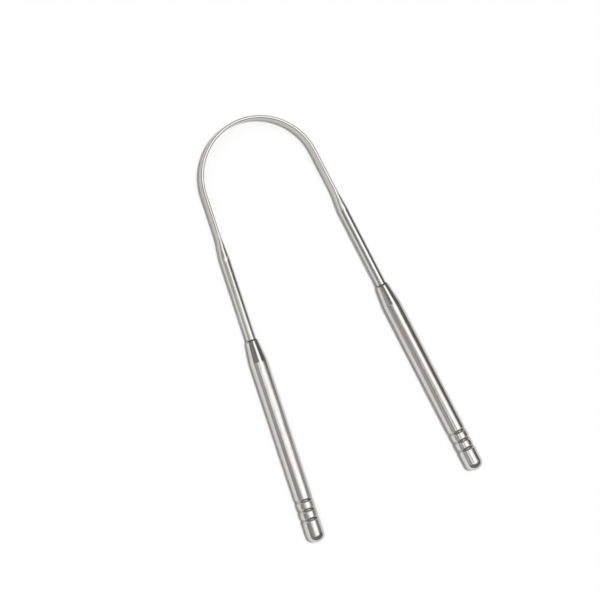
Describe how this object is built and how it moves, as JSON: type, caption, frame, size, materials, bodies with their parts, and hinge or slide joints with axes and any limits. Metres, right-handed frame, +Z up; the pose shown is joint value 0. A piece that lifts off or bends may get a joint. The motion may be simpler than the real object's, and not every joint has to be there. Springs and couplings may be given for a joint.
{
  "type": "tongue scraper",
  "caption": "U-shaped polished steel tongue scraper: a springy bow flattened into a scraping band at its arch, with a round ringed handle on each leg.",
  "frame": {"origin": "on the table that the scraper lies on, under the middle of its box", "axes": "+Y from the handle tips towards the arch, +X across the bow, +Z up from the table"},
  "size_m": [0.0716, 0.1514, 0.0064],
  "materials": {
    "bow_steel": "polished stainless steel",
    "handle_steel": "polished stainless steel, drawn lengthways",
    "plug_steel": "polished stainless steel, turned"
  },
  "bodies": {
    "crown": {"bow_crown": "bow_steel"},
    "left_leg": {"left_bow_leg": "bow_steel", "left_handle_tube": "handle_steel", "left_end_plug": "plug_steel"},
    "right_leg": {"right_bow_leg": "bow_steel", "right_handle_tube": "handle_steel", "right_end_plug": "plug_steel"}
  },
  "joints": [
    {"name": "left_leg_flex", "type": "hinge", "parent": "crown", "child": "left_leg", "pos_m": [-0.01923, 0.06398, 0.0032], "axis": [0, 0, 1], "range_deg": [-8, 8], "stiffness_Nm_per_rad": 3.4},
    {"name": "right_leg_flex", "type": "hinge", "parent": "crown", "child": "right_leg", "pos_m": [0.01923, 0.06398, 0.0032], "axis": [0, 0, -1], "range_deg": [-8, 8], "stiffness_Nm_per_rad": 3.4}
  ]
}
